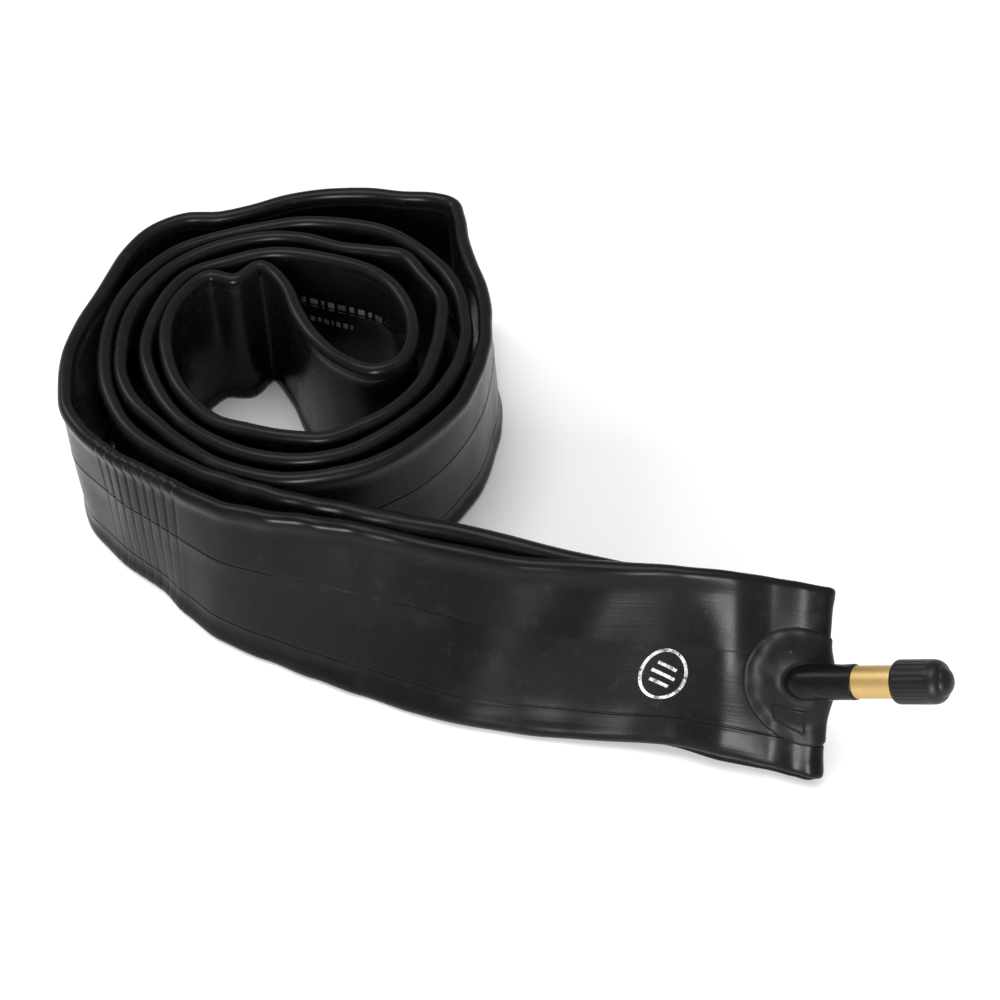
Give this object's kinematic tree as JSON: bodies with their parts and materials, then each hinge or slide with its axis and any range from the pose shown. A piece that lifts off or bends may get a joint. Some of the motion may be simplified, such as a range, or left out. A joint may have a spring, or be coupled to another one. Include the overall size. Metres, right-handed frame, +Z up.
{
  "type": "bicycle inner tube",
  "caption": "Bicycle inner tube pressed flat, doubled and rolled up on its edge, with its capped car-type valve lying out at the end.",
  "frame": {"origin": "middle of the underside of the whole part, on the floor it stands on", "axes": "+Z up, +X from the roll towards the valve end, +Y away from the side the valve is on"},
  "size_m": [0.2146, 0.168, 0.0471],
  "materials": {
    "butyl": "satin",
    "seal_rubber": "satin",
    "brass": "satin",
    "steel": "satin",
    "cap_plastic": "satin"
  },
  "bodies": {
    "rolled_tube": {"tube": "butyl", "valve_pad": "butyl", "stem_sleeve": "butyl", "stem_body": "brass", "core_plug": "brass", "core_barrel": "brass", "core_gasket": "seal_rubber", "core_spring": "steel"},
    "cap": {"dust_cap": "cap_plastic"},
    "plunger": {"core_pin": "steel", "plunger_seal": "seal_rubber", "plunger_cup": "brass"}
  },
  "joints": [
    {"name": "cap_off", "type": "slide", "parent": "rolled_tube", "child": "cap", "axis": [0.7894, -0.3497, 0.5046], "range_m": [0, 0.016]},
    {"name": "pin_press", "type": "slide", "parent": "rolled_tube", "child": "plunger", "axis": [-0.7894, 0.3497, -0.5046], "range_m": [0, 0.0015], "stiffness_N_per_m": 500, "springref_m": -0.001}
  ]
}
